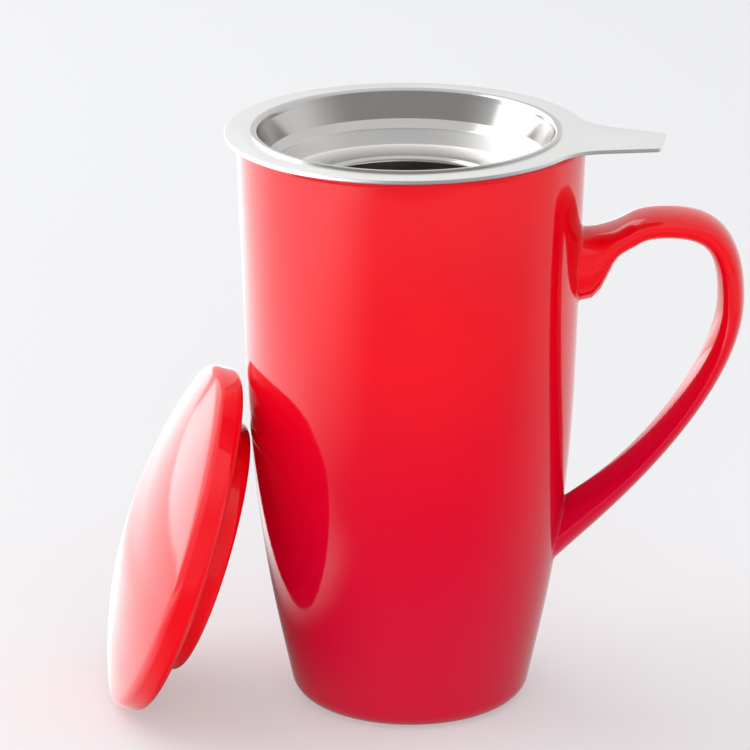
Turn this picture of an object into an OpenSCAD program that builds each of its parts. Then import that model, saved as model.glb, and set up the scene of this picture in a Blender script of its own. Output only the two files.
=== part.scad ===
// Tall glazed tea mug with a lift-out steel infuser and a loose ceramic lid.
// Millimetres, +Z up. The origin is the centre of the mug's foot, on the table.
// The handle points along +X. The lid stands on its edge and leans on the -X side.

/* [Mug] */
// Height from the table to the top of the lip
mug_h = 140; // [116:1:170]
// Outside diameter at the lip
lip_d = 82.5; // [78:0.5:98]
// Height of the soft bend where the upper wall turns into the lower taper
bend_h = 48; // [40:1:76]
// Diameter at which the upper wall and the lower taper would meet if the bend were sharp
bend_d = 76.2; // [63:0.2:92]
// Radius of the soft bend, seen from the side, where the wall leaves room for it
bend_round = 360; // [60:5:420]
// Diameter that the lower taper would have at the table if the heel were sharp
base_d = 55.4; // [48:0.2:68]
// Radius of the rounded heel
heel_round = 5.7; // [3:0.1:7]
// Wall thickness at the lip and the bend
wall = 3.6; // [2.6:0.1:4.2]
// Wall thickness at the bottom of the taper
wall_low = 4.4; // [3.6:0.1:5.4]
// Thickness of the mug's floor above its foot recess
floor_t = 5; // [4:0.1:7]
// Radius where the inner wall meets the floor
well_round = 9; // [5:0.5:12]
// Width of the unglazed foot ring
foot_w = 3.4; // [2:0.1:5]
// Depth of the recess inside the foot ring
foot_recess = 1.6; // [0.8:0.1:2.4]

/* [Handle] */
// How far the handle reaches beyond the lip
handle_reach = 38; // [32:0.5:48]
// Drop from the lip to the handle's upper root
handle_drop = 23; // [18:0.5:28]
// Rise of the handle's crown above its upper root
crown_rise = 4.7; // [1:0.1:7]
// Distance of the crown beyond the lip
crown_out = 19.5; // [16:0.5:24]
// Drop from the upper root to the handle's outermost point
elbow_drop = 17.2; // [14:0.2:24]
// Drop from the upper root to the underside of the lower root
handle_span = 82; // [68:0.5:92]
// Width of the strap, from side to side
strap_w = 16.5; // [12:0.5:20]
// Thickness of the strap
strap_t = 6.4; // [5:0.1:8]
// Extra depth of the upper root's lobe
lobe_t = 10.8; // [6:0.1:15]
// Extra depth of the lower root
lower_root_t = 4; // [2:0.1:8]

/* [Infuser] */
// Radial clearance between the cup and the mug's mouth
cup_clear = 1.95; // [1:0.05:3.3]
// Least clearance left where the infuser lies against the mug
seat_gap = 0.75; // [0.3:0.05:1.1]
// Thickness of the flat rim plate
plate_t = 1; // [0.8:0.1:1.5]
// How far the rim plate runs past the lip
plate_over = 1.6; // [1.3:0.1:3.5]
// Length of the thumb tab beyond the rim plate
tab_l = 18; // [14:0.2:26]
// Width of the tab at its tip
tab_tip_w = 13; // [10:0.5:16]
// Width of the tab where it would meet the plate's edge
tab_root_w = 23; // [18:0.5:27]
// Radius of the flare between the tab and the plate
tab_flare = 14; // [8:0.5:20]
// Corner radius at the tab's tip
tab_corner = 1.6; // [0.8:0.1:3]
// Turn of the infuser in the mug, clockwise seen from above
tab_turn = 8.7; // [0:0.1:20]
// Thickness of the drawn sheet of the cup
sheet_t = 0.5; // [0.4:0.05:0.8]
// Width of the cup's hem, rolled over the edge of the rim plate
hem_w = 1; // [0.8:0.1:1.6]
// Depth of the cup's upper wall
upper_wall_h = 5.6; // [4:0.1:8]
// How far the upper wall draws in
upper_draw = 2.2; // [1:0.1:3]
// Height of the sloping step under the upper wall
step_h = 1.7; // [1:0.1:3]
// Width of the sloping step
step_w = 2; // [1:0.1:3]
// Height of the cup's lower wall
lower_wall_h = 4.2; // [3:0.1:7]
// How far the lower wall draws in
lower_draw = 1.4; // [0.6:0.1:2.4]
// Fall of the cup's floor towards the neck
floor_fall = 1; // [0.5:0.1:2]
// Height of the neck that the basket is welded to
neck_h = 4.5; // [3.5:0.1:7]

/* [Basket] */
// Outside diameter of the basket's perforated wall
basket_d = 47; // [38:0.5:52]
// Depth of the whole infuser below the lip
infuser_h = 76; // [60:1:90]
// Thickness of the perforated sheet
mesh_t = 0.4; // [0.3:0.05:0.6]
// Diameter of one perforation
hole_d = 1.5; // [0.8:0.1:2]
// Perforations round the wall, one place of which is the plain seam
hole_cols = 28; // [12:2:32]
// Rows of perforations up the wall
hole_rows = 12; // [6:1:14]
// Plain band above and below the perforated rows
plain_band = 5.5; // [4.5:0.1:8]
// Rings of perforations in the basket's floor
floor_rings = 4; // [2:1:4]
// Plain edge of the floor, from its last ring of perforations out to the wall
floor_plain = 5; // [3:0.1:9]
// Height of the floor cap's skirt round the wall
skirt_h = 4; // [2.5:0.1:5]

/* [Lid] */
// Outside diameter of the lid
lid_d = 86; // [82:0.5:104]
// Height of the lid's side band
lid_band_h = 6.5; // [5:0.1:8]
// How far the side band draws in towards its top
lid_band_draw = 0.5; // [0.2:0.1:1]
// Height of the lid's crown above its underside
lid_h = 14.7; // [12:0.1:19]
// Radius of the band's lower edge
lid_edge_round = 2; // [1:0.1:2.4]
// Radius of the shoulder between the band and the dome
lid_shoulder = 2.4; // [1.2:0.1:3]
// Outside diameter of the locating flange
flange_d = 62; // [50:0.5:64]
// Height of the locating flange
flange_h = 5.8; // [4.5:0.1:8]
// Thickness of the locating flange
flange_t = 4.5; // [4.2:0.1:6]
// Thickness of the lid under its dome
lid_wall = 5; // [4:0.1:6.5]
// Lean of the lid from upright
lean = 18.6; // [14:0.1:24]
// Bearing of the leaning lid round the mug, towards the front
lean_bearing = 5.5; // [0:0.5:15]
// Gap left between the lid's flange and the mug's wall
lean_gap = 0.3; // [0.3:0.05:0.6]

/* [Hidden] */
$fn = 96;
glaze_red = [0.82, 0.03, 0.08];
satin_steel = [0.8, 0.81, 0.8];
bright_steel = [0.72, 0.72, 0.71];

lip_r = lip_d / 2;
bend_r = bend_d / 2;
base_r = base_d / 2;
mouth_r = lip_r - wall;
floor_z = foot_recess + floor_t;
arc_step = 9; // degrees that one facet of a revolved corner turns through
arc_chord = 8; // and the length that it may have
through = 1; // how far a cutting tool runs past what it cuts

// ---- outlines with rounded corners ----
// An outline is a list of corners [r, z, radius]. A corner of radius 0 stays sharp.
function unit(v) = v / norm(v);
function flat(lists) = [for (l = lists) for (p = l) p];
function reversed(l) = [for (i = [len(l) - 1:-1:0]) l[i]];
function xy(c) = [c[0], c[1]];
function half_angle(a, b, c) = acos(unit(a - b) * unit(c - b)) / 2;
function side_used(a, b, c, radius) = radius / tan(half_angle(a, b, c));
function corner_centre(a, b, c, radius) =
    let (u = unit(a - b), v = unit(c - b))
    b + unit(u + v) * radius / sin(acos(u * v) / 2);
function corner_arc(a, b, c, radius) =
    let (
        u = unit(a - b),
        v = unit(c - b),
        half = acos(u * v) / 2,
        centre = corner_centre(a, b, c, radius),
        from = b + u * radius / tan(half) - centre,
        to = b + v * radius / tan(half) - centre,
        a0 = atan2(from[1], from[0]),
        sweep = (atan2(to[1], to[0]) - a0 + 540) % 360 - 180,
        steps = max(3, ceil(abs(sweep) / arc_step), ceil(radius * abs(sweep) * PI / 180 / arc_chord))
    )
    [for (i = [0:steps])
        centre + radius * [cos(a0 + sweep * i / steps), sin(a0 + sweep * i / steps)]];
// The radius asked for, or the largest that fits the corner's sides, less what is kept
// straight at each of their far ends
function fitted(a, b, c, radius, keep_a, keep_c) =
    min(radius, min(norm(a - b) - keep_a, norm(c - b) - keep_c) * tan(half_angle(a, b, c)));
function rounded(corners) = flat([
    for (i = [0:len(corners) - 1])
        i == 0 || i == len(corners) - 1 || corners[i][2] == 0
            ? [xy(corners[i])]
            : corner_arc(xy(corners[i - 1]), xy(corners[i]), xy(corners[i + 1]), corners[i][2])
]);
// The line that lies t to the left of a path, for the other face of a sheet
function beside(path, t) = [
    for (i = [0:len(path) - 1])
        let (
            last = len(path) - 1,
            d1 = unit(path[max(i, 1)] - path[max(i, 1) - 1]),
            d2 = unit(path[min(i, last - 1) + 1] - path[min(i, last - 1)]),
            d = unit(d1 + d2),
            stretch = 1 / max(0.7, d * d1)
        )
        path[i] + [-d[1], d[0]] * t * stretch
];
module revolved_sheet(path, t) {
    rotate_extrude() polygon(concat(path, reversed(beside(path, t))));
}

// ---- mug ----
lip_straight = 3; // least straight wall kept under the lip
heel = [base_r, 0];
bend = [bend_r, bend_h];
lip_out = [lip_r, mug_h];
outer_wall = rounded([
    [0, 0, 0],
    [heel[0], heel[1], heel_round],
    [bend[0], bend[1], fitted(heel, bend, lip_out, bend_round,
        side_used([0, 0], heel, bend, heel_round), lip_straight)],
    [lip_out[0], lip_out[1], 0]
]);
// The inner wall turns a little more at its bend than the outer, because it leaves the
// thicker foot of the wall, so a smaller radius there keeps the wall even.
bend_round_in = bend_round * 0.75;
taper_r = base_r + (bend_r - base_r) * floor_z / bend_h; // outer taper at the floor's height
well = [taper_r - wall_low, floor_z];
bend_in = [bend_r - wall, bend_h];
lip_in = [mouth_r, mug_h];
inner_wall = rounded([
    [0, floor_z, 0],
    [well[0], well[1], well_round],
    [bend_in[0], bend_in[1], fitted(well, bend_in, lip_in, bend_round_in,
        side_used([0, floor_z], well, bend_in, well_round), lip_straight)],
    [lip_in[0], lip_in[1], 0]
]);
foot_r = outer_wall[1][0];
function mug_r(z) = lookup(z, [for (p = outer_wall) if (p[1] > 0) [p[1], p[0]]]);

module mug_solid() {
    rotate_extrude() polygon(concat(outer_wall, [[0, mug_h]]));
}

module mug_body() {
    lip_round = wall * 0.46; // just under half the wall, for a full round lip
    foot_slope = 1; // the foot ring's inner face leans by this much
    recess_round = 1.2;
    foot_edge = 0.4;
    outer_end = len(outer_wall) - 2;
    inner_end = len(inner_wall) - 2;
    lip = rounded([
        [outer_wall[outer_end][0], outer_wall[outer_end][1], 0],
        [lip_r, mug_h, lip_round],
        [mouth_r, mug_h, lip_round],
        [inner_wall[inner_end][0], inner_wall[inner_end][1], 0]
    ]);
    foot_in = foot_r - foot_w;
    foot = rounded([
        [0, foot_recess, 0],
        [foot_in - foot_slope, foot_recess, recess_round],
        [foot_in, 0, foot_edge],
        [foot_r, 0, 0]
    ]);
    color(glaze_red)
        rotate_extrude()
            polygon(concat(
                foot,
                [for (i = [2:outer_end - 1]) outer_wall[i]],
                lip,
                [for (i = [inner_end - 1:-1:0]) inner_wall[i]]
            ));
}

// ---- handle ----
// The spine is the strap's outer edge, in the plane y = 0: from the upper root over the
// crown, round the elbow and down to the lower root, in three curves.
root_top = mug_h - handle_drop;
crown = [lip_r + crown_out, root_top + crown_rise];
elbow = [lip_r + handle_reach, root_top - elbow_drop];
root_low = root_top - handle_span;
root_in = 9; // how far each root is carried into the mug before it is cut to fit
root_pull = 12; // how strongly each curve leaves its end along the strap
crown_pull = 12;
elbow_pull = 16.2;
belly_pull = 27.2;
tail_pull = 1;
lobe_run = 4.9; // lengths over which the roots' extra depth and width die away
lower_run = 21.5;
flare_run = 9;
root_flare = 3; // extra width at each root
crown_steps = 14; // pieces that each short curve and the long one are cut into
belly_steps = 22;
section_points = 20;
section_power = 0.9; // 1 is an ellipse; less gives a fuller section
upper_start = [mug_r(root_top), root_top];
lower_end = [mug_r(root_low), root_low];
belly = elbow - [0, belly_pull];
tail_dir = unit(lower_end - belly); // the strap runs down to its lower root on a slant
function bezier(p, t) =
    pow(1 - t, 3) * p[0] + 3 * t * pow(1 - t, 2) * p[1]
    + 3 * t * t * (1 - t) * p[2] + pow(t, 3) * p[3];
function curve(p, steps) = [for (i = [0:steps - 1]) bezier(p, i / steps)];
spine = concat(
    [upper_start - [root_in, 0], upper_start - [root_in / 2, 0]],
    curve([upper_start, upper_start + [root_pull, 0], crown - [crown_pull, 0], crown], crown_steps),
    curve([crown, crown + [crown_pull, 0], elbow + [0, elbow_pull], elbow], crown_steps),
    curve([elbow, belly, lower_end - tail_dir * tail_pull, lower_end], belly_steps),
    [lower_end, lower_end + tail_dir * root_in / 2, lower_end + tail_dir * root_in]
);
function run_to(i) = i == 0 ? 0 : run_to(i - 1) + norm(spine[i] - spine[i - 1]);
spine_runs = [for (i = [0:len(spine) - 1]) run_to(i)];
strap_run = spine_runs[len(spine) - 1] - 2 * root_in;
function fade(distance, length, power) = exp(-pow(max(distance, 0) / length, power));
function fuller(v) = sign(v) * pow(abs(v), section_power);

module handle_sweep() {
    last = len(spine) - 1;
    rings = [
        for (i = [0:last])
            let (
                d = unit(spine[min(i + 1, last)] - spine[max(i - 1, 0)]),
                out = [-d[1], d[0]],
                s = spine_runs[i] - root_in,
                lobe = fade(s, lobe_run, 3),
                lower = fade(strap_run - s, lower_run, 2),
                depth = strap_t + lobe_t * lobe + lower_root_t * lower,
                width = strap_w
                    + root_flare * (fade(s, flare_run, 2) + fade(strap_run - s, flare_run, 2)),
                middle = spine[i] - out * depth / 2
            )
            [for (k = [0:section_points - 1])
                let (
                    a = 360 * k / section_points,
                    across = fuller(sin(a)) * width / 2,
                    up = fuller(cos(a)) * depth / 2
                )
                [middle[0] + out[0] * up, across, middle[1] + out[1] * up]]
    ];
    n = section_points;
    sides = [
        for (i = [0:last - 1]) for (k = [0:n - 1]) for (half = [0, 1])
            let (a = i * n + k, b = i * n + (k + 1) % n)
            half == 0 ? [a, b, b + n] : [a, b + n, a + n]
    ];
    caps = [[for (k = [n - 1:-1:0]) k], [for (k = [0:n - 1]) last * n + k]];
    polyhedron(flat(rings), concat(sides, caps));
}

module mug_handle() {
    color(glaze_red)
        difference() {
            handle_sweep();
            mug_solid();
        }
}

// ---- infuser ----
// Its own frame has z = 0 at the lip, on the infuser's axis, with the tab along +X.
plate_r = lip_r + plate_over;
cup_r = mouth_r - cup_clear;
seat_shift = cup_clear - seat_gap;
flare_bite = 0.05;
basket_r = basket_d / 2;
neck_r = basket_r - mesh_t;
fold_run = 1; // height of the fold above the cup's upper wall
upper_z = plate_t - fold_run - upper_wall_h;
step_z = upper_z - step_h;
lower_z = step_z - lower_wall_h;
neck_z = lower_z - floor_fall;

module infuser_at_rest() {
    translate([-seat_shift, 0, mug_h])
        rotate([0, 0, -tab_turn])
            children();
}

// The patch between a tangent circle, the plate's edge and the tab's side
module tab_half() {
    tip_x = plate_r + tab_l;
    root = [plate_r, tab_root_w / 2];
    tip = [tip_x, tab_tip_w / 2];
    d = unit(tip - root);
    side = [-d[1], d[0]];
    // The flare's circle touches the tab's side and cuts just into the plate's edge
    from_axis = plate_r - flare_bite + tab_flare;
    off_side = root * side + tab_flare;
    centre = side * off_side + d * sqrt(pow(from_axis, 2) - pow(off_side, 2));
    on_plate = unit(centre) * (plate_r - flare_bite);
    on_side = centre - side * tab_flare;
    corner = corner_arc(root, tip, [tip_x, 0], tab_corner);
    difference() {
        polygon(concat([[0, 0], on_plate, on_side], corner, [[tip_x, 0]]));
        translate(centre) circle(tab_flare);
    }
}

module infuser_rim_plate() {
    color(satin_steel)
        infuser_at_rest()
            difference() {
                union() {
                    cylinder(h = plate_t, r = plate_r);
                    linear_extrude(plate_t) tab_half();
                    linear_extrude(plate_t) mirror([0, 1]) tab_half();
                }
                // The hole follows the cup's fold, so the cup seats in it face to face
                rotate_extrude()
                    polygon(concat(
                        [[0, plate_t + through], [cup_path[1][0], plate_t + through]],
                        [for (i = [1:len(cup_path) - 1]) cup_path[i]],
                        [[0, neck_z - neck_h]]
                    ));
            }
}

// The cup's outer face, from its hem over the plate down to its neck
fold_round = 0.35;
fold_in = [0.3, 1.2]; // where the fold has run out: inwards and below the plate's face
wall_round = 1;
step_round = 0.8;
floor_round = 1.2;
cup_path = rounded([
    [cup_r + hem_w, plate_t, 0],
    [cup_r, plate_t, fold_round],
    [cup_r - fold_in[0], plate_t - fold_in[1], wall_round],
    [cup_r - upper_draw, upper_z, step_round],
    [cup_r - upper_draw - step_w, step_z, step_round],
    [cup_r - upper_draw - step_w - lower_draw, lower_z, floor_round],
    [neck_r, neck_z, step_round],
    [neck_r, neck_z - neck_h, 0]
]);

module infuser_cup() {
    color(bright_steel)
        infuser_at_rest()
            revolved_sheet(cup_path, -sheet_t);
}

wall_start = 1; // the basket's wall starts this far below the cup's floor
basket_top = neck_z - wall_start;
basket_bottom = -infuser_h;
cap_corner = 0.6; // inner radius at the foot of the cap; the wall stops just above it
wall_bottom = basket_bottom + cap_corner;
rows_span = basket_top - basket_bottom - 2 * plain_band;

module infuser_basket_wall() {
    color(bright_steel)
        infuser_at_rest()
            difference() {
                translate([0, 0, wall_bottom])
                    difference() {
                        cylinder(h = basket_top - wall_bottom, r = basket_r);
                        translate([0, 0, -through])
                            cylinder(h = basket_top - wall_bottom + 2 * through, r = neck_r);
                    }
                // Every other row is shifted by half a place; the seam's place stays plain
                for (row = [0:hole_rows - 1]) for (col = [1:hole_cols - 1])
                    rotate([0, 0, 180 + 360 * (col + (row % 2 == 0 ? -1 : 1) / 4) / hole_cols])
                        translate([neck_r - through, 0,
                            basket_bottom + plain_band + rows_span * row / (hole_rows - 1)])
                            rotate([0, 90, 0])
                                cylinder(h = mesh_t + 2 * through, d = hole_d);
            }
}

module infuser_basket_floor() {
    ring_step = (neck_r - floor_plain) / (floor_rings - 1);
    first_ring = 6; // holes in the first ring; each further ring has as many more
    cap_path = rounded([
        [0, basket_bottom, 0],
        [basket_r, basket_bottom, cap_corner],
        [basket_r, basket_bottom + skirt_h, 0]
    ]);
    color(bright_steel)
        infuser_at_rest()
            difference() {
                revolved_sheet(cap_path, -mesh_t);
                for (ring = [0:floor_rings - 1])
                    let (holes = max(1, first_ring * ring))
                    for (i = [0:holes - 1])
                        rotate([0, 0, 360 * i / holes])
                            translate([ring_step * ring, 0, basket_bottom - through])
                                cylinder(h = mesh_t + 2 * through, d = hole_d);
            }
}

// ---- lid ----
// Its own frame has the crown along +Z and z = 0 on the face that rests on the rim plate.
lid_r = lid_d / 2;
flange_r = flange_d / 2;
flange_edge = 1.9; // radii of the flange's outer edge, inner edge and root
flange_edge_in = 1.8;
flange_root = 0.8;
dome_edge_r = lid_r - lid_band_draw;
dome_rise = lid_h - lid_band_h;
dome_radius = (pow(dome_edge_r, 2) + pow(dome_rise, 2)) / (2 * dome_rise);
function dome_z(r) = lid_h - dome_radius + sqrt(pow(dome_radius, 2) - r * r);

module lid_shape() {
    well_r = flange_r - flange_t;
    well_corner = 2.5; // radius at the well's corner, which starts this far in:
    well_flat_r = well_r - 2 * well_corner;
    dome_steps = 16;
    dome_aim_r = dome_edge_r - 4; // the shoulder turns towards this point of the dome
    shoulder = corner_arc(
        [lid_r, 0],
        [dome_edge_r, lid_band_h],
        [dome_aim_r, dome_z(dome_aim_r)],
        lid_shoulder);
    dome_gap = 0.5; // run from the shoulder's end to the dome's first point
    dome_start = shoulder[len(shoulder) - 1][0] - dome_gap;
    dome = [for (i = [0:dome_steps])
        let (r = dome_start * (1 - i / dome_steps)) [r, dome_z(r)]];
    well_roof = [for (i = [0:dome_steps / 2])
        let (r = well_flat_r * i / (dome_steps / 2)) [r, dome_z(r) - lid_wall]];
    under = rounded([
        [well_flat_r, dome_z(well_flat_r) - lid_wall, 0],
        [well_r, dome_z(well_r) - lid_wall, well_corner],
        [well_r, -flange_h, flange_edge_in],
        [flange_r, -flange_h, flange_edge],
        [flange_r, 0, flange_root],
        [lid_r, 0, lid_edge_round],
        [dome_edge_r, lid_band_h, 0]
    ]);
    rotate_extrude()
        polygon(concat(
            well_roof,
            [for (i = [1:len(under) - 2]) under[i]],
            shoulder,
            dome
        ));
}

// Where the lid stands: its band's lower edge touches the table, and the top of its
// flange's rounded edge lies lean_gap from the mug's wall. On a lid that is much wider
// than its flange, the band's top edge meets the wall first and sets the distance.
rim_centre = corner_centre([flange_r, 0], [lid_r, 0], [dome_edge_r, lid_band_h], lid_edge_round);
touch_z = lid_edge_round + rim_centre[0] * cos(lean) - rim_centre[1] * sin(lean);
// Distance of the lid from the mug's axis at which a round edge, whose centre lies up
// and out in the lid's own frame, is lean_gap from the wall
function out_for(up, out, edge) =
    mug_r(touch_z + up * cos(lean) - out * sin(lean))
    + lean_gap + edge + up * sin(lean) + out * cos(lean);
lid_out = max(
    out_for(flange_r - flange_edge, flange_h - flange_edge, flange_edge),
    out_for(rim_centre[0], -rim_centre[1], lid_edge_round)
);

module lid() {
    color(glaze_red)
        rotate([0, 0, lean_bearing])
            translate([-lid_out, 0, touch_z])
                rotate([0, lean - 90, 0])
                    lid_shape();
}

mug_body();
mug_handle();
infuser_rim_plate();
infuser_cup();
infuser_basket_wall();
infuser_basket_floor();
lid();
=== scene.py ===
import math

import bmesh
import bpy
from mathutils import Matrix, Vector


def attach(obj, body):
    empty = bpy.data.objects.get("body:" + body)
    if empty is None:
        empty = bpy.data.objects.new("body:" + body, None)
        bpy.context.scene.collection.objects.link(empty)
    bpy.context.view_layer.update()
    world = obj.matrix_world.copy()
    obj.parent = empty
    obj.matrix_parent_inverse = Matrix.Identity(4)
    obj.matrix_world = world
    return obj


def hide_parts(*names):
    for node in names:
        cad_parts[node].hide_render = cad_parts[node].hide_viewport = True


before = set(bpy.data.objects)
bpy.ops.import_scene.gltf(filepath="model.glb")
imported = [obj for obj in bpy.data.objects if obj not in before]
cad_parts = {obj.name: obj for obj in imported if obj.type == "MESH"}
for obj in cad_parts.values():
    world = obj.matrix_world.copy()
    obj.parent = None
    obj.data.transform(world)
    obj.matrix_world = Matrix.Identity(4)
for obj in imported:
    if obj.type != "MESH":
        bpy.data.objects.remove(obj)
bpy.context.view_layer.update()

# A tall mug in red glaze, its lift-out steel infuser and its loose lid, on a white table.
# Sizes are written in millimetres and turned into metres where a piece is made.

MM = 0.001

# ------------------------------------------------- sizes shared with the frame
MUG_H = 140.0
LIP_R = 41.25
WALL = 3.6
BEND = (38.1, 48.0)
BEND_ROUND = 360.0
BASE_R = 27.7
HEEL_ROUND = 5.7
WALL_LOW = 4.4
FLOOR_Z = 6.6
WELL_ROUND = 9.0
FOOT_W = 3.4
FOOT_RECESS = 1.6
MOUTH_R = LIP_R - WALL
TAPER_R = BASE_R + (BEND[0] - BASE_R) * FLOOR_Z / BEND[1]

ROOT_TOP = MUG_H - 23.0
ROOT_LOW = ROOT_TOP - 82.0
CROWN = (LIP_R + 19.5, ROOT_TOP + 4.7)
ELBOW = (LIP_R + 38.0, ROOT_TOP - 17.2)
CROWN_PULL = 12
ELBOW_PULL = 16.2
BELLY_PULL = 27.2
STRAP_W = 16.5
STRAP_T = 6.4
ROOT_WIDER = 3
ROOT_WIDER_RUN = 9
LOBE_T = 10.8
LOBE_RUN = 4.9
LOWER_ROOT_T = 4.0
LOWER_ROOT_RUN = 21.5

INFUSER_SHIFT = -1.2
TAB_TURN = 8.7
CUP_R = MOUTH_R - 1.95
PLATE_T = 1.0
SHEET_T = 0.5
BASKET_R = 23.5
MESH_T = 0.4
BASKET_BOTTOM = -76.0
NECK_R = BASKET_R - MESH_T
UPPER_Z = PLATE_T - 6.6
STEP_Z = UPPER_Z - 1.7
LOWER_Z = STEP_Z - 4.2
NECK_Z = LOWER_Z - 1.0

LID_R = 43.0
LID_BAND_H = 6.5
LID_BAND_DRAW = 0.5
LID_H = 14.7
LID_EDGE_ROUND = 2.0
LID_SHOULDER = 2.4
FLANGE_R = 31.0
FLANGE_H = 5.8
FLANGE_T = 4.5
FLANGE_EDGE = 1.9
LID_WALL = 5.0
LEAN = 18.6
LEAN_BEARING = 5.5
LEAN_GAP = 0.3

# ------------------------------------------------- details that only this model has
LATHE_STEPS = 192
WELD = 0.002
LIP_ROUND = WALL * 0.46
STRAP_POINTS = 40
SECTION_POWER = 0.9
RIDGE_FULL_BELOW = 25
RIDGE_ACROSS = 0.6
RIDGE_UP = 0.8
STRAP_INTO_WALL = 9
FILLET = 1.1
FILLET_STEPS = 6
GLAZE_LIFT = 0.02
PLATE_BROKEN_EDGE = 0.18
MESH_PITCH = 1.15
MESH_MARGIN = 0.24
BAND_LOW = 4.3
BAND_HIGH = 4.2
SEAM_HALF = 3.2
CAP_EDGE = 1.4


# ------------------------------------------------- camera
def deselect():
    bpy.ops.object.select_all(action="DESELECT")


def place_camera():
    """The photograph's viewpoint: from the front, looking down with a long lens."""
    pitch_down = 18.362
    deselect()
    bpy.ops.object.camera_add(
        location=(-0.00856, -1.1582, 0.4647),
        rotation=(math.radians(90 - pitch_down), 0, 0),
    )
    camera = bpy.context.object
    camera.name = "photo_camera"
    camera.data.lens = 245.0
    camera.data.sensor_width = 36
    camera.data.clip_start = 0.05
    camera.data.clip_end = 20
    bpy.context.scene.camera = camera


place_camera()


# ------------------------------------------------- outlines
def corner_centre(a, b, c, radius):
    u, v = (a - b).normalized(), (c - b).normalized()
    half = u.angle(v) / 2
    return b + (u + v).normalized() * radius / math.sin(half)


def corner_arc(a, b, c, radius, step=6.0):
    """Points of the round corner at b, on the way from a to c."""
    u, v = (a - b).normalized(), (c - b).normalized()
    half = u.angle(v) / 2
    centre = corner_centre(a, b, c, radius)
    start = b + u * radius / math.tan(half) - centre
    end = b + v * radius / math.tan(half) - centre
    first = math.atan2(start.y, start.x)
    sweep = (math.atan2(end.y, end.x) - first + 3 * math.pi) % math.tau - math.pi
    count = max(3, math.ceil(abs(math.degrees(sweep)) / step))
    turns = (first + sweep * i / count for i in range(count + 1))
    return [centre + radius * Vector((math.cos(turn), math.sin(turn))) for turn in turns]


def rounded(corners, step=6.0):
    """An outline with round corners, from (radius from the axis, height, corner radius)."""
    flat = [Vector(c[:2]) for c in corners]
    out = []
    for i, corner in enumerate(corners):
        if i in (0, len(corners) - 1) or corner[2] == 0:
            out.append(flat[i])
        else:
            out += corner_arc(flat[i - 1], flat[i], flat[i + 1], corner[2], step)
    return out


def beside(path, t):
    """The line that lies t to the left of a path: the other face of a sheet."""
    out = []
    last = len(path) - 1
    for i, p in enumerate(path):
        d1 = (path[max(i, 1)] - path[max(i, 1) - 1]).normalized()
        d2 = (path[min(i, last - 1) + 1] - path[min(i, last - 1)]).normalized()
        d = (d1 + d2).normalized()
        out.append(p + Vector((-d.y, d.x)) * t / max(0.7, d.dot(d1)))
    return out


def sheet(path, thickness):
    """The closed outline of a sheet that follows a path, on the path's right."""
    return path + list(reversed(beside(path, -thickness)))


def filled_steps(points, longest):
    """The same outline with its long straight runs cut into shorter ones."""
    out = [points[0]]
    for a, b in zip(points, points[1:]):
        count = max(1, math.ceil((b - a).length / longest))
        out += [a.lerp(b, i / count) for i in range(1, count + 1)]
    return out


# ------------------------------------------------- making pieces
def pick(piece):
    """Selects one piece alone and makes it the active one."""
    deselect()
    piece.select_set(True)
    bpy.context.view_layer.objects.active = piece


def settle(piece):
    """Brings a piece's place into its mesh, so that its object sits at the origin."""
    pick(piece)
    bpy.ops.object.transform_apply(location=True, rotation=True, scale=True)


def smooth(piece, angle=30):
    pick(piece)
    bpy.ops.object.shade_smooth_by_angle(angle=math.radians(angle))


def named(name):
    """The piece that was just added, with its name on object and mesh."""
    piece = bpy.context.object
    piece.name = piece.data.name = name
    return piece


def outward_normals():
    bpy.ops.mesh.select_all(action="SELECT")
    bpy.ops.mesh.normals_make_consistent(inside=False)
    bpy.ops.object.mode_set(mode="OBJECT")


def turned(name, outline, closed=False):
    """A piece turned on a lathe: an outline drawn by extruding a point, then spun."""
    deselect()
    start = outline[0]
    bpy.ops.mesh.primitive_plane_add(size=MM, location=(start.x * MM, 0, start.y * MM))
    piece = named(name)
    bpy.ops.object.mode_set(mode="EDIT")
    bpy.ops.mesh.select_mode(type="VERT")
    bpy.ops.mesh.select_all(action="SELECT")
    bpy.ops.mesh.merge(type="CENTER")
    here = start
    for p in outline[1:] + ([start] if closed else []):
        step = ((p.x - here.x) * MM, 0, (p.y - here.y) * MM)
        bpy.ops.mesh.extrude_region_move(TRANSFORM_OT_translate={"value": step})
        here = p
    bpy.ops.mesh.select_all(action="SELECT")
    bpy.ops.mesh.spin(steps=LATHE_STEPS, angle=math.tau, center=(0, 0, 0), axis=(0, 0, 1))
    bpy.ops.mesh.select_all(action="SELECT")
    bpy.ops.mesh.remove_doubles(threshold=WELD * MM)
    outward_normals()
    settle(piece)
    smooth(piece)
    return piece


def to_infuser_seat(piece):
    """Moves a piece from the infuser's own frame, z = 0 at the lip, to where it rests."""
    piece.location = (INFUSER_SHIFT * MM, 0, MUG_H * MM)
    piece.rotation_euler = (0, 0, -math.radians(TAB_TURN))
    settle(piece)
    return piece


# ------------------------------------------------- mug
OUTER = rounded(
    [(0, 0, 0), (BASE_R, 0, HEEL_ROUND), (*BEND, BEND_ROUND), (LIP_R, MUG_H, 0)],
    step=0.6,
)
INNER = rounded(
    [
        (0, FLOOR_Z, 0),
        (TAPER_R - WALL_LOW, FLOOR_Z, WELL_ROUND),
        (BEND[0] - WALL, BEND[1], BEND_ROUND * 0.75),
        (MOUTH_R, MUG_H, 0),
    ],
    step=1.2,
)
FOOT_R = OUTER[1].x


def mug_radius(z):
    """Radius of the mug's outside at a height."""
    for a, b in zip(OUTER[1:], OUTER[2:]):
        if a.y <= z <= b.y and b.y > a.y:
            return a.x + (b.x - a.x) * (z - a.y) / (b.y - a.y)
    return LIP_R


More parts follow.
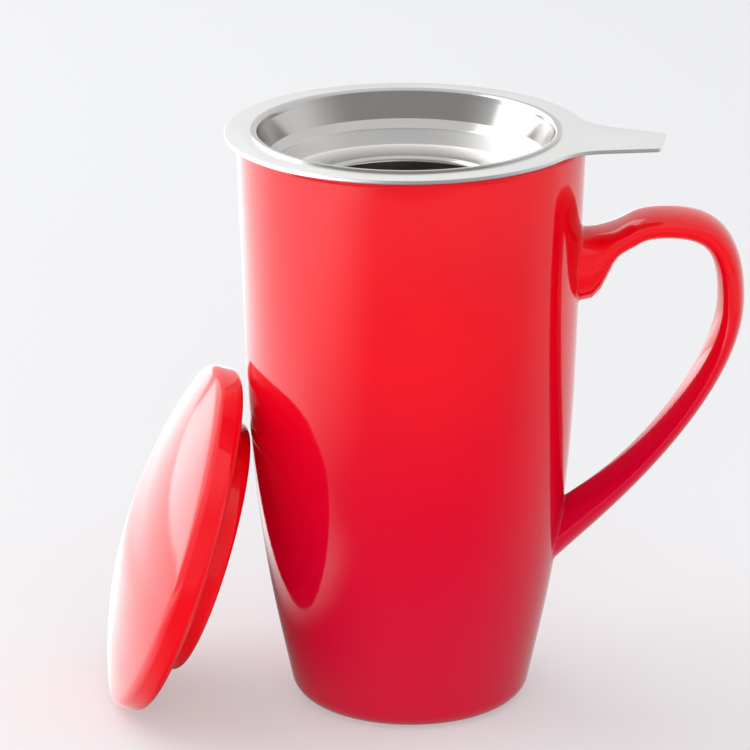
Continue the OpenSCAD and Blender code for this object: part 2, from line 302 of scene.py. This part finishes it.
def make_mug():
    lip = rounded(
        [
            (*OUTER[-2], 0),
            (LIP_R, MUG_H, LIP_ROUND),
            (MOUTH_R, MUG_H, LIP_ROUND),
            (*INNER[-2], 0),
        ],
        step=7,
    )
    foot_in = FOOT_R - FOOT_W
    foot = rounded(
        [
            (0, FOOT_RECESS, 0),
            (foot_in - 1, FOOT_RECESS, 1.2),
            (foot_in, 0, 0.4),
            (*OUTER[1], 0),
        ],
        step=12,
    )
    outline = foot + OUTER[2:-2] + lip + list(reversed(INNER[:-2]))
    return turned("mug_shell", filled_steps(outline, 4.0))


# ------------------------------------------------- handle
def bezier(p, t):
    u = 1 - t
    return u**3 * p[0] + 3 * t * u * u * p[1] + 3 * t * t * u * p[2] + t**3 * p[3]


def handle_spine():
    """The strap's outer edge in the plane of the handle, from root to root."""
    start = Vector((mug_radius(ROOT_TOP), ROOT_TOP))
    end = Vector((mug_radius(ROOT_LOW), ROOT_LOW))
    crown, elbow = Vector(CROWN), Vector(ELBOW)
    right, up = Vector((1, 0)), Vector((0, 1))
    belly = elbow - up * BELLY_PULL
    down_in = (end - belly).normalized()
    pull = right * CROWN_PULL
    curves = [
        ([start, start + pull, crown - pull, crown], 20),
        ([crown, crown + pull, elbow + up * ELBOW_PULL, elbow], 20),
        ([elbow, belly, end - down_in, end], 32),
    ]
    inside = [STRAP_INTO_WALL * i / 3 for i in range(4)]
    points = [start - right * run for run in reversed(inside[1:])]
    for p, count in curves:
        points += [bezier(p, i / count) for i in range(count)]
    return points + [end + down_in * run for run in inside]


def fade(distance, length, power):
    return math.exp(-((max(distance, 0) / length) ** power))


def swell(value, power):
    """A sine or cosine raised to a power, with its sign kept."""
    return math.copysign(abs(value) ** power, value)


def handle_rings():
    """Rings of points round the strap, one at each point of its spine."""
    spine = handle_spine()
    runs = [0.0]
    for a, b in zip(spine, spine[1:]):
        runs.append(runs[-1] + (b - a).length)
    strap_run = runs[-1] - 2 * STRAP_INTO_WALL
    rings = []
    last = len(spine) - 1
    for i, p in enumerate(spine):
        d = (spine[min(i + 1, last)] - spine[max(i - 1, 0)]).normalized()
        out = Vector((-d.y, d.x))
        s = runs[i] - STRAP_INTO_WALL
        left = strap_run - s
        lobe = LOBE_T * fade(s, LOBE_RUN, 3)
        depth = STRAP_T + lobe + LOWER_ROOT_T * fade(left, LOWER_ROOT_RUN, 2)
        near_root = fade(s, ROOT_WIDER_RUN, 2) + fade(left, ROOT_WIDER_RUN, 2)
        width = STRAP_W + ROOT_WIDER * near_root
        middle = p - out * depth / 2
        # Below the elbow the strap's inner side rises to a soft ridge along its middle
        ridge = min(1, max(0, (ELBOW[1] - p.y) / RIDGE_FULL_BELOW))
        ring = []
        for k in range(STRAP_POINTS):
            a = math.tau * k / STRAP_POINTS
            sharp = ridge if math.cos(a) < 0 else 0
            across = swell(math.sin(a), SECTION_POWER + RIDGE_ACROSS * sharp) * width / 2
            up = swell(math.cos(a), SECTION_POWER + RIDGE_UP * sharp) * depth / 2
            ring.append(Vector((middle.x + out.x * up, across, middle.y + out.y * up)))
        rings.append(ring)
    return rings


def off_wall(p):
    """How far a point lies outside the mug's wall."""
    return math.hypot(p.x, p.y) - mug_radius(p.z)


def on_wall(p, lift):
    """The point moved straight in or out until it stands lift off the mug's wall."""
    k = (mug_radius(p.z) + lift) / math.hypot(p.x, p.y)
    return Vector((p.x * k, p.y * k, p.z))


def with_fillet(rings):
    """Ends the strap in a glaze fillet that runs out on the mug's wall.

    Each line along the strap is followed inwards to the wall, stopped one radius short of
    it and led round to a point one radius out along the wall.
    """
    count = len(rings[0])
    first = 0
    while min(off_wall(p) for p in rings[first]) < FILLET * 1.3:
        first += 1
    hits, runs_in = [], []
    for k in range(count):
        i = first
        while off_wall(rings[i][k]) > 0:
            i -= 1
        a, b = rings[i + 1][k], rings[i][k]
        t = off_wall(a) / (off_wall(a) - off_wall(b))
        hits.append(a.lerp(b, t))
        runs_in.append((a - b).normalized())
    middle = sum(hits, Vector()) / count
    fillet = [[] for _ in range(FILLET_STEPS + 2)]
    for k, hit in enumerate(hits):
        tangent = (hits[(k + 1) % count] - hits[k - 1]).normalized()
        wall_normal = Vector((hit.x, hit.y, 0)).normalized()
        along = tangent.cross(wall_normal).normalized()
        if along.dot(hit - middle) < 0:
            along = -along
        on_strap = hit + runs_in[k] * FILLET
        foot = on_wall(hit + along * FILLET, GLAZE_LIFT)
        for j in range(FILLET_STEPS + 1):
            t = j / FILLET_STEPS
            p = (1 - t) ** 2 * on_strap + 2 * t * (1 - t) * hit + t * t * foot
            fillet[j].append(p if off_wall(p) > GLAZE_LIFT else on_wall(p, GLAZE_LIFT))
        # The last ring dips under the wall, so that no gap shows at the fillet's edge
        fillet[-1].append(on_wall(hit + along * FILLET * 1.1, -0.4))
    return list(reversed(fillet)) + rings[first:]


def extruded_tube(name, rings):
    """A tube whose end ring is extruded again and again, each new ring set in its place."""
    count = len(rings[0])
    deselect()
    bpy.ops.mesh.primitive_circle_add(vertices=count, radius=MM, fill_type="NGON")
    piece = named(name)
    bpy.ops.object.mode_set(mode="EDIT")
    bpy.ops.mesh.select_mode(type="VERT")
    placed = None
    for ring in rings:
        if placed is not None:
            bpy.ops.mesh.extrude_region_move()
        mesh = bmesh.from_edit_mesh(piece.data)
        mesh.verts.ensure_lookup_table()
        chosen = [v for v in mesh.verts if v.select]
        if placed is None:
            chosen.sort(key=lambda v: math.atan2(v.co.x, v.co.y) % math.tau)
        else:
            chosen.sort(
                key=lambda v: min(range(count), key=lambda k: (v.co - placed[k]).length)
            )
        for v, p in zip(chosen, ring):
            v.co = p * MM
        placed = [v.co.copy() for v in chosen]
        bmesh.update_edit_mesh(piece.data)
    outward_normals()
    smooth(piece, 60)
    return piece


def make_handle():
    rings = with_fillet(handle_rings())
    rings = with_fillet(list(reversed(rings)))
    return extruded_tube("mug_handle_strap", rings)


# ------------------------------------------------- infuser
def make_plate():
    """The rim plate: a merged copy of the CAD plate with its stamped edges broken."""
    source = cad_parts["infuser_rim_plate"]
    piece = bpy.data.objects.new("rim_plate", source.data.copy())
    piece.data.name = "rim_plate"
    piece.data.materials.clear()
    bpy.context.scene.collection.objects.link(piece)
    pick(piece)
    bpy.ops.object.mode_set(mode="EDIT")
    bpy.ops.mesh.select_all(action="SELECT")
    bpy.ops.mesh.remove_doubles(threshold=WELD * MM)
    bpy.ops.mesh.dissolve_limited(angle_limit=math.radians(0.5))
    bpy.ops.object.mode_set(mode="OBJECT")
    edge = piece.modifiers.new("stamped_edge", "BEVEL")
    edge.width = PLATE_BROKEN_EDGE * MM
    edge.segments = 3
    edge.limit_method = "ANGLE"
    edge.angle_limit = math.radians(50)
    bpy.ops.object.modifier_apply(modifier=edge.name)
    smooth(piece, 25)
    return piece


def make_cup():
    path = rounded(
        [
            (CUP_R + 1.0, PLATE_T, 0),
            (CUP_R, PLATE_T, 0.35),
            (CUP_R - 0.3, PLATE_T - 1.2, 1),
            (CUP_R - 2.2, UPPER_Z, 0.8),
            (CUP_R - 4.2, STEP_Z, 0.8),
            (CUP_R - 5.6, LOWER_Z, 1.2),
            (NECK_R, NECK_Z, 0.8),
            (NECK_R, NECK_Z - 4.5, 0),
        ],
        step=10,
    )
    return to_infuser_seat(turned("drawn_cup", sheet(path, SHEET_T), closed=True))


def select_faces(piece, wanted):
    """Selects the faces whose centre the test accepts, in edit mode."""
    bpy.ops.mesh.select_mode(type="FACE")
    bpy.ops.mesh.select_all(action="DESELECT")
    mesh = bmesh.from_edit_mesh(piece.data)
    for face in mesh.faces:
        if wanted(face.calc_center_median()):
            face.select_set(True)
    bmesh.update_edit_mesh(piece.data)


def punch(piece, wanted):
    """Punches a square hole in each face that the test accepts."""
    select_faces(piece, wanted)
    bpy.ops.mesh.inset(thickness=MESH_MARGIN * MM, depth=0, use_individual=True)
    bpy.ops.mesh.delete(type="FACE")


def thicken(piece, thickness):
    """Gives a surface its sheet's thickness, inwards from where it lies."""
    wall = piece.modifiers.new("sheet", "SOLIDIFY")
    wall.thickness = thickness * MM
    wall.offset = -1
    pick(piece)
    bpy.ops.object.modifier_apply(modifier=wall.name)


def make_basket_wall():
    columns = round(math.tau * BASKET_R / MESH_PITCH)
    low, high = BASKET_BOTTOM + 0.6, NECK_Z - 1.0
    perforated_h = high - low - (BAND_LOW + BAND_HIGH)
    rows = round(perforated_h / MESH_PITCH)
    deselect()
    bpy.ops.mesh.primitive_circle_add(
        vertices=columns, radius=BASKET_R * MM, location=(0, 0, low * MM)
    )
    piece = named("basket_wall")
    bpy.ops.object.mode_set(mode="EDIT")
    for rise in [BAND_LOW] + [perforated_h / rows] * rows + [BAND_HIGH]:
        lift = (0, 0, rise * MM)
        bpy.ops.mesh.extrude_region_move(TRANSFORM_OT_translate={"value": lift})
    bottom, top = BAND_LOW * MM, (high - low - BAND_HIGH) * MM

    def perforated(c):
        from_seam = math.atan2(c.y, c.x) % math.tau - math.pi
        return bottom < c.z < top and abs(from_seam) > SEAM_HALF / BASKET_R

    punch(piece, perforated)
    outward_normals()
    thicken(piece, MESH_T)
    settle(piece)
    smooth(piece)
    return to_infuser_seat(piece)


def make_basket_floor():
    cap = rounded(
        [
            (NECK_R - 1.6, BASKET_BOTTOM, 0),
            (BASKET_R, BASKET_BOTTOM, 0.6),
            (BASKET_R, BASKET_BOTTOM + 4.0, 0),
        ],
        step=15,
    )
    rim = turned("basket_floor", sheet(cap, MESH_T), closed=True)
    cells = 2 * math.ceil(NECK_R / MESH_PITCH)
    deselect()
    bpy.ops.mesh.primitive_grid_add(
        x_subdivisions=cells,
        y_subdivisions=cells,
        size=cells * MESH_PITCH * MM,
        location=(0, 0, (BASKET_BOTTOM - 0.02) * MM),
    )
    disc = bpy.context.object
    bpy.ops.object.mode_set(mode="EDIT")
    reach = (NECK_R - 0.7) * MM
    select_faces(disc, lambda c: math.hypot(c.x, c.y) > reach)
    bpy.ops.mesh.delete(type="FACE")
    punch(disc, lambda c: math.hypot(c.x, c.y) < reach - CAP_EDGE * MM)
    bpy.ops.object.mode_set(mode="OBJECT")
    thicken(disc, MESH_T - 0.04)
    settle(disc)
    rim.select_set(True)
    bpy.context.view_layer.objects.active = rim
    bpy.ops.object.join()
    return to_infuser_seat(rim)


# ------------------------------------------------- lid
DOME_EDGE_R = LID_R - LID_BAND_DRAW
DOME_RISE = LID_H - LID_BAND_H
DOME_RADIUS = (DOME_EDGE_R**2 + DOME_RISE**2) / (2 * DOME_RISE)


def dome_z(r):
    return LID_H - DOME_RADIUS + math.sqrt(DOME_RADIUS**2 - r * r)


def lid_place():
    """Where the leaning lid lies: its band on the table, its flange by the mug's wall."""
    lean = math.radians(LEAN)
    band = (Vector((FLANGE_R, 0)), Vector((LID_R, 0)), Vector((DOME_EDGE_R, LID_BAND_H)))
    rim = corner_centre(*band, LID_EDGE_ROUND)
    touch = LID_EDGE_ROUND + rim.x * math.cos(lean) - rim.y * math.sin(lean)

    def out_for(up, out, edge):
        wall = mug_radius(touch + up * math.cos(lean) - out * math.sin(lean))
        return wall + LEAN_GAP + edge + up * math.sin(lean) + out * math.cos(lean)

    away = max(
        out_for(FLANGE_R - FLANGE_EDGE, FLANGE_H - FLANGE_EDGE, FLANGE_EDGE),
        out_for(rim.x, -rim.y, LID_EDGE_ROUND),
    )
    return (
        Matrix.Rotation(math.radians(LEAN_BEARING), 4, "Z")
        @ Matrix.Translation((-away * MM, 0, touch * MM))
        @ Matrix.Rotation(lean - math.pi / 2, 4, "Y")
    )


def make_lid():
    well_r = FLANGE_R - FLANGE_T
    roof_r = well_r - 5
    inner_edge = DOME_EDGE_R - 4
    shoulder = corner_arc(
        Vector((LID_R, 0)),
        Vector((DOME_EDGE_R, LID_BAND_H)),
        Vector((inner_edge, dome_z(inner_edge))),
        LID_SHOULDER,
    )
    dome_start = shoulder[-1].x - 0.5
    dome = [Vector((r, dome_z(r))) for r in (dome_start * (1 - i / 28) for i in range(29))]
    well = [Vector((r, dome_z(r) - LID_WALL)) for r in (roof_r * i / 12 for i in range(13))]
    under = rounded(
        [
            (roof_r, dome_z(roof_r) - LID_WALL, 0),
            (well_r, dome_z(well_r) - LID_WALL, 2.5),
            (well_r, -FLANGE_H, FLANGE_T * 0.4),
            (FLANGE_R, -FLANGE_H, FLANGE_EDGE),
            (FLANGE_R, 0, 0.8),
            (LID_R, 0, LID_EDGE_ROUND),
            (DOME_EDGE_R, LID_BAND_H, 0),
        ]
    )
    outline = well + under[1:-1] + shoulder + dome
    piece = turned("leaning_lid", filled_steps(outline, 3.0))
    piece.matrix_world = lid_place()
    settle(piece)
    return piece


# ------------------------------------------------- materials
class Socket:
    """A socket of a material's node tree, with arithmetic that adds Math nodes."""

    def __init__(self, paint, socket):
        self.paint, self.socket = paint, socket

    def _math(self, operation, *values):
        inputs = dict(enumerate(values))
        return self.paint.node("ShaderNodeMath", {"operation": operation}, inputs)

    def __add__(self, other):
        return self._math("ADD", self, other)

    def __radd__(self, other):
        return self._math("ADD", other, self)

    def __sub__(self, other):
        return self._math("SUBTRACT", self, other)

    def __rsub__(self, other):
        return self._math("SUBTRACT", other, self)

    def __mul__(self, other):
        return self._math("MULTIPLY", self, other)

    def __rmul__(self, other):
        return self._math("MULTIPLY", other, self)

    def sqrt(self):
        return self._math("SQRT", self)

    def ramp(self, low, high):
        """0 below low, 1 above high, smooth between. low may be the greater of the two."""
        return self.paint.node(
            "ShaderNodeMapRange",
            {"interpolation_type": "SMOOTHSTEP"},
            {"Value": self, "From Min": low, "From Max": high},
        )


class Paint:
    """A material, or the world, that is built from nodes."""

    def __init__(self, name, world=False):
        self.material = (bpy.data.worlds if world else bpy.data.materials).new(name)
        self.material.use_nodes = True
        self.tree = self.material.node_tree
        self.tree.nodes.clear()
        self.output = self.tree.nodes.new(
            "ShaderNodeOutputWorld" if world else "ShaderNodeOutputMaterial"
        )

    def node(self, kind, settings=None, inputs=None, output=0):
        made = self.tree.nodes.new(kind)
        for name, value in (settings or {}).items():
            setattr(made, name, value)
        for name, value in (inputs or {}).items():
            if isinstance(value, Socket):
                self.tree.links.new(value.socket, made.inputs[name])
            else:
                made.inputs[name].default_value = value
        return Socket(self, made.outputs[output])

    def place(self):
        """The point's place in the object's own frame, in metres."""
        return self.node("ShaderNodeTexCoord", output="Object")

    def axes(self, vector):
        split = self.node("ShaderNodeSeparateXYZ", inputs={"Vector": vector})
        return [Socket(self, output) for output in split.socket.node.outputs]

    def ray_is(self, kind):
        return self.node("ShaderNodeLightPath", output=f"Is {kind} Ray")

    def noise(self, vector, scale, detail=2.0, roughness=0.5):
        inputs = {"Vector": vector, "Scale": scale}
        inputs |= {"Detail": detail, "Roughness": roughness}
        return self.node("ShaderNodeTexNoise", inputs=inputs)

    def mix(self, factor, a, b):
        """A colour between a and b."""
        factor_in, a_in, b_in, colour_out = 0, 6, 7, 2
        inputs = {factor_in: factor, a_in: a, b_in: b}
        return self.node("ShaderNodeMix", {"data_type": "RGBA"}, inputs, colour_out)

    def bump(self, height, strength, distance):
        inputs = {"Strength": strength, "Distance": distance, "Height": height}
        return self.node("ShaderNodeBump", inputs=inputs)

    def blend(self, share, shader, other):
        """A shader between two, by the share of the other."""
        return self.node("ShaderNodeMixShader", inputs={0: share, 1: shader, 2: other})

    def lit(self, kind, level, brightest):
        """Pale light of a varying level, as a blend of a black one and the brightest."""
        black, bright = (
            self.node(kind, inputs={"Color": PALE, "Strength": strength})
            for strength in (0.0, brightest)
        )
        return self.blend(level * (1 / brightest), black, bright)

    def show(self, shader):
        """Ends the tree in this shader."""
        self.tree.links.new(shader.socket, self.output.inputs["Surface"])
        return self.material

    def surface(self, **inputs):
        values = {name.replace("_", " "): value for name, value in inputs.items()}
        return self.show(self.node("ShaderNodeBsdfPrincipled", inputs=values))


GLAZE = (0.88, 0.001, 0.008, 1)
GLAZE_DEEP = (0.82, 0.001, 0.010, 1)
# Painted shade: the darker, bluer red that the lower parts are given
GLAZE_PAINTED_SHADE = (0.66, 0.0005, 0.032, 1)
# A paler red for edges where the glaze thins; on the lid it is also a painted highlight
GLAZE_THIN_AND_HIGHLIGHT = (0.86, 0.05, 0.06, 1)
STONEWARE = (0.78, 0.72, 0.64, 1)
STONEWARE_GRIT = (0.62, 0.56, 0.49, 1)
PALE = (0.91, 0.91, 0.912, 1)


def glaze(name, bare=None, thin_and_highlight=None, painted_shade=None, frame_turn=None):
    """High-gloss red glaze that pools a little, thins on edges and leaves the foot bare. It
    can also carry painted shade low down and a painted highlight along edges.
    """
    paint = Paint(name)
    place = paint.place()
    if frame_turn is not None:
        place = frame_turn(paint, place)
    x, y, z = paint.axes(place)
    radius = (x * x + y * y).sqrt()
    cloud = paint.noise(place, 28)
    colour = paint.mix(cloud.ramp(0.35, 0.7), GLAZE, GLAZE_DEEP)
    # Painted shade: a darker, bluer red towards the bottom
    if painted_shade is not None:
        colour = paint.mix(painted_shade(z), colour, GLAZE_PAINTED_SHADE)
    # A paler red on edges: glaze that runs thinner, and on the lid also a painted highlight
    if thin_and_highlight is not None:
        colour = paint.mix(thin_and_highlight(radius, z), colour, GLAZE_THIN_AND_HIGHLIGHT)
    roughness = 0.06 + paint.noise(place, 90, 3) * 0.03
    skin = paint.noise(place, 55, 1)
    fine = paint.noise(place, 420)
    height = skin * 0.85 + fine * 0.15
    if bare is not None:
        edge = paint.noise(place, 160) * 0.5 * MM
        mask = bare(radius, z, edge)
        grit = paint.noise(place, 2200, 4, 0.7)
        clay = paint.mix(grit, STONEWARE, STONEWARE_GRIT)
        colour = paint.mix(mask, colour, clay)
        roughness = roughness * (1 - mask) + mask * 0.85
        height = height * (1 - mask) + grit * mask
    return paint.surface(
        Base_Color=colour,
        Roughness=roughness,
        IOR=1.47,
        Normal=paint.bump(height, 0.25, 0.12 * MM),
    )


def mug_bare(radius, z, edge):
    """The foot ring, wiped clean before firing."""
    inside, outside = FOOT_R - FOOT_W, FOOT_R + 0.7
    past_inside = radius.ramp((inside - 0.4) * MM, inside * MM)
    ring = past_inside * radius.ramp((outside + 0.2) * MM, (outside - 0.2) * MM)
    return ring * (z - edge).ramp(0.45 * MM, 0.2 * MM)


def mug_painted_shade(z):
    """Painted shade: the glaze is made darker and bluer towards the foot, where the lower
    wall takes less light.
    """
    return z.ramp(112 * MM, 14 * MM)


def handle_painted_shade(z):
    """Painted shade as on the mug: darker and bluer on the lower half of the strap."""
    return z.ramp(104 * MM, 56 * MM)


def mug_thin(radius, z):
    """The lip, where the glaze runs thinner."""
    return z.ramp((MUG_H - 1.2) * MM, (MUG_H - 0.2) * MM) * 0.5


def lid_frame(paint, place):
    """Turns the leaning lid's place back to one with its axis upright."""
    back = lid_place().inverted()
    inputs = {"Vector": place, "Location": back.translation, "Rotation": back.to_euler()}
    return paint.node("ShaderNodeMapping", {"vector_type": "POINT"}, inputs)


def lid_thin_and_highlight(radius, z):
    """The band's two edges: partly glaze that runs thinner, partly a painted highlight
    along them.
    """
    low = z.ramp(1.4 * MM, 0.5 * MM) * z.ramp(-0.4 * MM, 0.2 * MM)
    high = z.ramp(4.8 * MM, 5.8 * MM) * z.ramp(7.6 * MM, 6.6 * MM)
    outer = radius.ramp(40.6 * MM, 41.8 * MM)
    return (low + high) * outer * 0.5


def satin_steel():
    """Flat stamped steel with a fine satin finish."""
    paint = Paint("satin_rim_steel")
    place = paint.place()
    grain = paint.noise(place, 900, 3, 0.6)
    cloud = paint.noise(place, 60)
    return paint.surface(
        Base_Color=paint.mix(cloud, (0.87, 0.87, 0.855, 1), (0.81, 0.815, 0.805, 1)),
        Metallic=1.0,
        Roughness=0.30 + grain * 0.10,
        Normal=paint.bump(grain, 0.12, 0.02 * MM),
    )


def bright_steel():
    """Drawn sheet: bright, with faint rings from the die, and satin on the lower wall,
    whose colour is also made paler as a painted sheen.
    """
    paint = Paint("bright_cup_steel")
    place = paint.place()
    z = paint.axes(place)[2]
    rings = paint.noise(paint.node("ShaderNodeCombineXYZ", inputs={"Z": z}), 2600)
    cloud = paint.noise(place, 70)
    colour = paint.mix(cloud, (0.60, 0.585, 0.57, 1), (0.54, 0.53, 0.52, 1))
    floor, step = MUG_H + LOWER_Z, MUG_H + STEP_Z
    # The lower wall, between the floor and the step: a satin finish in roughness, and a
    # painted sheen in its paler colour
    above_floor = z.ramp((floor - 0.2) * MM, (floor + 0.6) * MM)
    satin = above_floor * z.ramp((step + 0.5) * MM, (step - 0.3) * MM)
    return paint.surface(
        # Painted sheen: the lower wall is coloured paler than the rest of the cup
        Base_Color=paint.mix(satin, colour, (0.93, 0.92, 0.91, 1)),
        Metallic=1.0,
        Roughness=0.12 + rings * 0.08 + satin * 0.30,
        Normal=paint.bump(rings * 0.6 + cloud * 0.4, 0.15, 0.02 * MM),
    )


def mesh_steel():
    """Etched sheet: plain steel, a little duller."""
    paint = Paint("perforated_sheet_steel")
    cloud = paint.noise(paint.place(), 300, 3)
    return paint.surface(
        Base_Color=paint.mix(cloud, (0.66, 0.655, 0.645, 1), (0.56, 0.555, 0.545, 1)),
        Metallic=1.0,
        Roughness=0.26 + cloud * 0.14,
        Normal=paint.bump(cloud, 0.1, 0.02 * MM),
    )


# ------------------------------------------------- the object
def dress(piece, material, body, slot, *nodes):
    piece.data.materials.clear()
    piece.data.materials.append(material)
    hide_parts(*nodes)
    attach(piece, body)


dress(
    make_mug(), glaze("mug_glaze", bare=mug_bare, thin_and_highlight=mug_thin, painted_shade=mug_painted_shade),
    "mug", "red_glaze_mug", "mug_body",
)
dress(
    make_handle(), glaze("handle_glaze", painted_shade=handle_painted_shade),
    "mug", "red_glaze_handle", "mug_handle",
)
dress(make_plate(), satin_steel(), "infuser", "satin_steel", "infuser_rim_plate")
dress(make_cup(), bright_steel(), "infuser", "polished_steel", "infuser_cup")
dress(
    make_basket_wall(), mesh_steel(),
    "infuser", "perforated_steel", "infuser_basket_wall",
)
dress(
    make_basket_floor(), mesh_steel(),
    "infuser", "perforated_steel", "infuser_basket_floor",
)
dress(
    make_lid(), glaze("lid_glaze", thin_and_highlight=lid_thin_and_highlight, frame_turn=lid_frame),
    "lid", "red_glaze_lid", "lid",
)


# ------------------------------------------------- stage and light
# The camera sees the table and the backdrop as white. In the photograph both are
# overexposed on the left, and the glaze mirrors more than that white, so reflections
# find levels of their own: 1 is white, distances are in metres.
TABLE_BRIGHTEST = 3.2
BACKDROP_BRIGHTEST = 3.8


def table_level(x, y):
    """The table in reflections: dark close in front of the mug, bright to its left."""
    away = (x * x + y * y).sqrt()
    far_front = away.ramp(0.30, 0.42) * y.ramp(-0.46, -0.40)
    front = away.ramp(0.10, 0.34) * 0.3 + far_front * 0.35
    back = 0.7 + y.ramp(0.04, 0.2) * 0.4
    plain = front + (back - front) * y.ramp(-0.13, 0.06)
    far_left = (0.2 * y - x).ramp(0.05, 0.30)
    by_lid = x.ramp(-0.055, -0.085) * y.ramp(-0.10, -0.03) * y.ramp(0.16, 0.08)
    left = 1 - (1 - far_left) * (1 - by_lid)
    # Painted shadow: reflections find the table darker under the lid, where the lid's
    # shadow falls
    painted_lid_shadow = x.ramp(-0.01, -0.05) * away.ramp(0.12, 0.08)
    return plain * (1 - painted_lid_shadow * 0.85) + left * 2.1


def make_floor():
    deselect()
    bpy.ops.mesh.primitive_plane_add(size=8, location=(0, 1.5, 0))
    floor = bpy.context.object
    floor.name = "white_table"
    settle(floor)
    paint = Paint("white_table")
    x, y, _ = paint.axes(paint.place())
    mirrored = paint.ray_is("Glossy")
    level = 1 - mirrored * (1 - table_level(x, y))
    glow = paint.lit("ShaderNodeEmission", level, TABLE_BRIGHTEST)
    matt = paint.node("ShaderNodeBsdfDiffuse", inputs={"Color": (0.86, 0.86, 0.865, 1)})
    seen = paint.ray_is("Camera") + paint.ray_is("Transmission")
    share = seen * 0.4 + mirrored * 0.85
    floor.data.materials.append(paint.show(paint.blend(share, matt, glow)))


def make_world():
    """Pale all round, as the backdrop is; reflections find it dimmer behind the camera and
    a bright panel low on the left."""
    paint = Paint("studio", world=True)
    x, y, z = paint.axes(paint.node("ShaderNodeTexCoord", output="Generated"))
    mirrored = paint.ray_is("Glossy")
    behind_camera = y.ramp(0.1, -0.7) * z.ramp(0.9, 0.5)
    left_panel = x.ramp(-0.35, -0.7) * y.ramp(-0.3, 0.2) * z.ramp(0.3, 0.1)
    level = 1 + mirrored * (left_panel * 2.8 - behind_camera * 0.6)
    white = paint.lit("ShaderNodeBackground", level, BACKDROP_BRIGHTEST)
    light = {"Color": (0.9, 0.93, 1.0, 1), "Strength": 0.45}
    plain = paint.node("ShaderNodeBackground", inputs=light)
    share = paint.ray_is("Camera") + mirrored + paint.ray_is("Transmission")
    bpy.context.scene.world = paint.show(paint.blend(share, plain, white))


def softbox(name, place, size, watts):
    """A rectangular lamp that faces the middle of the object."""
    deselect()
    bpy.ops.object.light_add(type="AREA", location=place)
    lamp = bpy.context.object
    lamp.name = name
    lamp.data.shape = "RECTANGLE"
    lamp.data.size, lamp.data.size_y = size
    lamp.data.energy = watts
    toward = Vector((0, 0, 0.07)) - Vector(place)
    lamp.rotation_euler = toward.to_track_quat("-Z", "Y").to_euler()
    return lamp


def light_scene():
    softbox("left_softbox", (-1.05, 0.55, 0.75), (2.0, 1.6), 16)
    # A broad top light and a fill from low in front, both hidden from reflections
    top = softbox("top_softbox", (0.1, -0.1, 1.3), (2.0, 1.7), 7)
    fill = softbox("front_fill", (0.05, -1.7, 0.42), (1.4, 0.9), 14)
    top.visible_glossy = fill.visible_glossy = False


make_floor()
make_world()
light_scene()
bpy.context.scene.view_settings.view_transform = "Standard"
